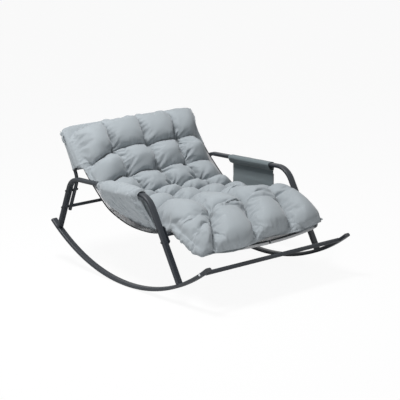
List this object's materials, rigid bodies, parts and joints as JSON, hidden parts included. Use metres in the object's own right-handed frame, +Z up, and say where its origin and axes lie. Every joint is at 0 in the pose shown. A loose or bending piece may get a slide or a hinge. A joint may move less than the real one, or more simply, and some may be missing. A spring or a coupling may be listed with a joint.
{
  "type": "double rocking chair",
  "caption": "Wide reclined rocking chair: curved rails and armrest loops of flat oval tube carry a mesh sling and a long tufted cushion with a hood, an arm lap and a side pocket.",
  "frame": {"origin": "on the floor under the lowest point of the rails, midway between the two side frames", "axes": "X across the chair to the armrest with the pocket, +Y to the back of the chair (the sitter faces -Y), +Z up"},
  "size_m": [1.1909, 1.5002, 0.8489],
  "materials": {
    "frame_paint": "satin charcoal powder coat",
    "bolt_black": "blackened steel",
    "bolt_zinc": "bright zinc plate",
    "plug_plastic": "black moulded plastic",
    "sling_mesh": "woven mesh, light warm grey",
    "binding_tape": "woven black binding tape",
    "cushion_cloth": "soft light grey cloth, padded and tufted",
    "pocket_cloth": "dark grey cloth"
  },
  "bodies": {
    "root": {"rocker_rail_left": "frame_paint", "rocker_rail_right": "frame_paint", "arm_loop_left": "frame_paint", "arm_loop_right": "frame_paint", "front_crossbar": "frame_paint", "back_frame": "frame_paint", "rear_crossbar": "frame_paint", "seat_frame": "frame_paint", "seat_crossbar": "frame_paint", "seat_brackets": "frame_paint", "back_upper_bolts": "bolt_black", "back_lower_bolts": "bolt_black", "back_cap_nuts": "bolt_black", "seat_upper_bolts": "bolt_black", "seat_lower_bolts": "bolt_black", "seat_cap_nuts": "bolt_black", "front_crossbar_inserts": "bolt_zinc", "front_crossbar_bolts": "bolt_zinc", "rear_crossbar_inserts": "bolt_zinc", "rail_plugs_front": "plug_plastic", "rail_plugs_rear": "plug_plastic", "back_frame_plugs": "plug_plastic", "back_spacers": "plug_plastic", "sling": "sling_mesh", "sling_binding_left": "binding_tape", "sling_binding_right": "binding_tape", "sling_front_binding": "binding_tape", "pocket_hem": "binding_tape", "cushion_pad": "cushion_cloth", "cushion_hood": "cushion_cloth", "cushion_arm_lap": "cushion_cloth", "cushion_tie": "cushion_cloth", "pocket_panel": "pocket_cloth", "pocket_pouch": "pocket_cloth"}
  },
  "joints": []
}
